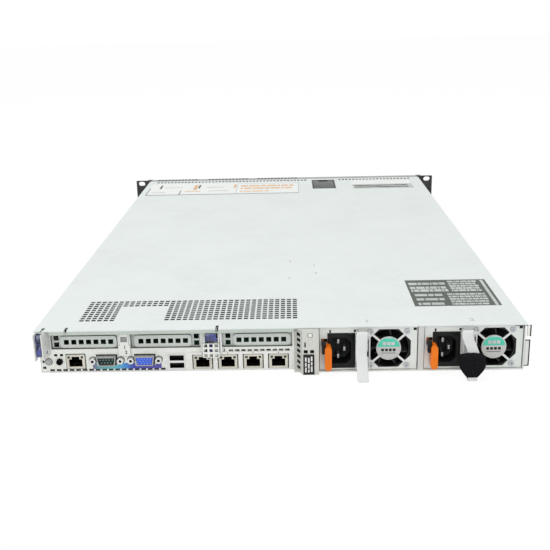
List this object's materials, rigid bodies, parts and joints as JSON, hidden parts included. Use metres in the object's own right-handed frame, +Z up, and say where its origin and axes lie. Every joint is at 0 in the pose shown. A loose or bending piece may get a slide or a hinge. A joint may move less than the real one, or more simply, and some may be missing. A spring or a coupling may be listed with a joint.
{
  "type": "one-unit rack server",
  "caption": "Flat rack-mount server with a sliding vented cover, rear connector panel, slide-in power supplies, drive carriers and slotted rack ears.",
  "frame": {"origin": "under the middle of the whole object, on the surface it stands on", "axes": "+X right as seen from the rear, +Y from the rear connectors to the drive side, +Z up"},
  "size_m": [0.4826, 0.732, 0.0428],
  "materials": {
    "zinc_steel": "galvanised sheet, satin",
    "cover_steel": "pale zinc sheet, satin",
    "bright_steel": "plated connector shells and studs",
    "black_steel": "black powder coat",
    "blue_plastic": "moulded",
    "orange_plastic": "moulded",
    "black_plastic": "moulded",
    "grey_plastic": "moulded",
    "pale_plastic": "moulded",
    "clear_plastic": "translucent button",
    "board": "glass-fibre circuit board",
    "fin_metal": "extruded fins",
    "white_webbing": "woven strap with hook-and-loop end"
  },
  "bodies": {
    "chassis": {"chassis_tray": "zinc_steel", "rear_panel": "zinc_steel", "rear_post": "zinc_steel", "psu_bay_walls": "zinc_steel", "slot_covers": "zinc_steel", "card_latch_bracket": "zinc_steel", "drive_cage": "zinc_steel", "front_panel": "zinc_steel", "network_jacks": "bright_steel", "serial_port": "bright_steel", "video_port": "bright_steel", "usb_ports": "bright_steel", "port_screws": "bright_steel", "indicator_jack": "black_plastic", "main_board": "board", "network_card": "board", "riser_cards": "board", "memory_modules": "board", "drive_backplane": "board", "heat_sinks": "fin_metal", "air_shroud": "black_plastic", "fan_frames": "black_plastic", "rack_ears": "black_steel", "rail_studs": "bright_steel"},
    "cover": {"top_cover": "cover_steel", "cover_folds": "cover_steel", "cover_latch_tray": "grey_plastic"},
    "cover_lever": {"cover_latch_lever": "grey_plastic"},
    "left_card_latch": {"card_latch_left": "blue_plastic"},
    "middle_card_latch": {"card_latch_middle": "blue_plastic"},
    "id_button": {"id_button": "clear_plastic"},
    "power_button": {"power_button": "clear_plastic"},
    "fan_1": {"fan_rotor_1": "black_plastic"},
    "fan_2": {"fan_rotor_2": "black_plastic"},
    "fan_3": {"fan_rotor_3": "black_plastic"},
    "fan_4": {"fan_rotor_4": "black_plastic"},
    "fan_5": {"fan_rotor_5": "black_plastic"},
    "fan_6": {"fan_rotor_6": "black_plastic"},
    "drive_1": {"drive_carrier_1": "grey_plastic"},
    "drive_lever_1": {"carrier_lever_1": "black_plastic"},
    "drive_2": {"drive_carrier_2": "grey_plastic"},
    "drive_lever_2": {"carrier_lever_2": "black_plastic"},
    "drive_3": {"drive_carrier_3": "grey_plastic"},
    "drive_lever_3": {"carrier_lever_3": "black_plastic"},
    "drive_4": {"drive_carrier_4": "grey_plastic"},
    "drive_lever_4": {"carrier_lever_4": "black_plastic"},
    "psu_1": {"psu_1_case": "zinc_steel", "psu_1_inlet": "black_plastic", "psu_1_handle": "pale_plastic", "psu_1_fan_frame": "black_plastic", "psu_1_strap": "white_webbing"},
    "psu_1_latch": {"psu_1_latch": "orange_plastic"},
    "psu_1_fan": {"psu_1_fan_rotor": "black_plastic"},
    "psu_2": {"psu_2_case": "zinc_steel", "psu_2_inlet": "black_plastic", "psu_2_handle": "pale_plastic", "psu_2_fan_frame": "black_plastic", "psu_2_strap": "white_webbing"},
    "psu_2_latch": {"psu_2_latch": "orange_plastic"},
    "psu_2_fan": {"psu_2_fan_rotor": "black_plastic"}
  },
  "joints": [
    {"name": "cover_slide", "type": "slide", "parent": "chassis", "child": "cover", "axis": [0, -1, 0], "range_m": [0, 0.012]},
    {"name": "cover_lever_lift", "type": "hinge", "parent": "cover", "child": "cover_lever", "pos_m": [0.063, 0.2575, 0.0396], "axis": [1, 0, 0], "range_deg": [0, 60]},
    {"name": "left_card_latch_swing", "type": "hinge", "parent": "chassis", "child": "left_card_latch", "pos_m": [-0.2122, -0.339, 0.0225], "axis": [1, 0, 0], "range_deg": [0, 50]},
    {"name": "middle_card_latch_swing", "type": "hinge", "parent": "chassis", "child": "middle_card_latch", "pos_m": [-0.0603, -0.336, 0.0315], "axis": [1, 0, 0], "range_deg": [0, 55]},
    {"name": "id_button_press", "type": "slide", "parent": "chassis", "child": "id_button", "axis": [0, 1, 0], "range_m": [0, 0.001], "stiffness_N_per_m": 400},
    {"name": "power_button_press", "type": "slide", "parent": "chassis", "child": "power_button", "axis": [0, -1, 0], "range_m": [0, 0.0012], "stiffness_N_per_m": 400},
    {"name": "fan_1_spin", "type": "hinge", "parent": "chassis", "child": "fan_1", "pos_m": [-0.17, 0.098, 0.0198], "axis": [0, 1, 0], "continuous": true},
    {"name": "fan_2_spin", "type": "hinge", "parent": "chassis", "child": "fan_2", "pos_m": [-0.102, 0.098, 0.0198], "axis": [0, 1, 0], "continuous": true},
    {"name": "fan_3_spin", "type": "hinge", "parent": "chassis", "child": "fan_3", "pos_m": [-0.034, 0.098, 0.0198], "axis": [0, 1, 0], "continuous": true},
    {"name": "fan_4_spin", "type": "hinge", "parent": "chassis", "child": "fan_4", "pos_m": [0.034, 0.098, 0.0198], "axis": [0, 1, 0], "continuous": true},
    {"name": "fan_5_spin", "type": "hinge", "parent": "chassis", "child": "fan_5", "pos_m": [0.102, 0.098, 0.0198], "axis": [0, 1, 0], "continuous": true},
    {"name": "fan_6_spin", "type": "hinge", "parent": "chassis", "child": "fan_6", "pos_m": [0.17, 0.098, 0.0198], "axis": [0, 1, 0], "continuous": true},
    {"name": "drive_1_slide", "type": "slide", "parent": "chassis", "child": "drive_1", "axis": [0, 1, 0], "range_m": [0, 0.165]},
    {"name": "drive_1_lever_swing", "type": "hinge", "parent": "drive_1", "child": "drive_lever_1", "pos_m": [-0.11445, 0.347, 0.0166], "axis": [0, 0, -1], "range_deg": [0, 50]},
    {"name": "drive_2_slide", "type": "slide", "parent": "chassis", "child": "drive_2", "axis": [0, 1, 0], "range_m": [0, 0.165]},
    {"name": "drive_2_lever_swing", "type": "hinge", "parent": "drive_2", "child": "drive_lever_2", "pos_m": [-0.00735, 0.347, 0.0166], "axis": [0, 0, -1], "range_deg": [0, 50]},
    {"name": "drive_3_slide", "type": "slide", "parent": "chassis", "child": "drive_3", "axis": [0, 1, 0], "range_m": [0, 0.165]},
    {"name": "drive_3_lever_swing", "type": "hinge", "parent": "drive_3", "child": "drive_lever_3", "pos_m": [0.09975, 0.347, 0.0166], "axis": [0, 0, -1], "range_deg": [0, 50]},
    {"name": "drive_4_slide", "type": "slide", "parent": "chassis", "child": "drive_4", "axis": [0, 1, 0], "range_m": [0, 0.165]},
    {"name": "drive_4_lever_swing", "type": "hinge", "parent": "drive_4", "child": "drive_lever_4", "pos_m": [0.20685, 0.347, 0.0166], "axis": [0, 0, -1], "range_deg": [0, 50]},
    {"name": "psu_1_slide", "type": "slide", "parent": "chassis", "child": "psu_1", "axis": [0, -1, 0], "range_m": [0, 0.2]},
    {"name": "psu_1_latch_press", "type": "hinge", "parent": "psu_1", "child": "psu_1_latch", "pos_m": [0.0391, -0.284, 0.0273], "axis": [0, 0, 1], "range_deg": [0, 3], "stiffness_Nm_per_rad": 0.6},
    {"name": "psu_1_fan_spin", "type": "hinge", "parent": "psu_1", "child": "psu_1_fan", "pos_m": [0.0965, -0.328, 0.0212], "axis": [0, 1, 0], "continuous": true},
    {"name": "psu_2_slide", "type": "slide", "parent": "chassis", "child": "psu_2", "axis": [0, -1, 0], "range_m": [0, 0.2]},
    {"name": "psu_2_latch_press", "type": "hinge", "parent": "psu_2", "child": "psu_2_latch", "pos_m": [0.1316, -0.284, 0.0273], "axis": [0, 0, 1], "range_deg": [0, 3], "stiffness_Nm_per_rad": 0.6},
    {"name": "psu_2_fan_spin", "type": "hinge", "parent": "psu_2", "child": "psu_2_fan", "pos_m": [0.189, -0.328, 0.0212], "axis": [0, 1, 0], "continuous": true}
  ],
  "couplings": [
    {"joint": "cover_lever_lift", "follows": "cover_slide", "rad_per_m": 87}
  ]
}
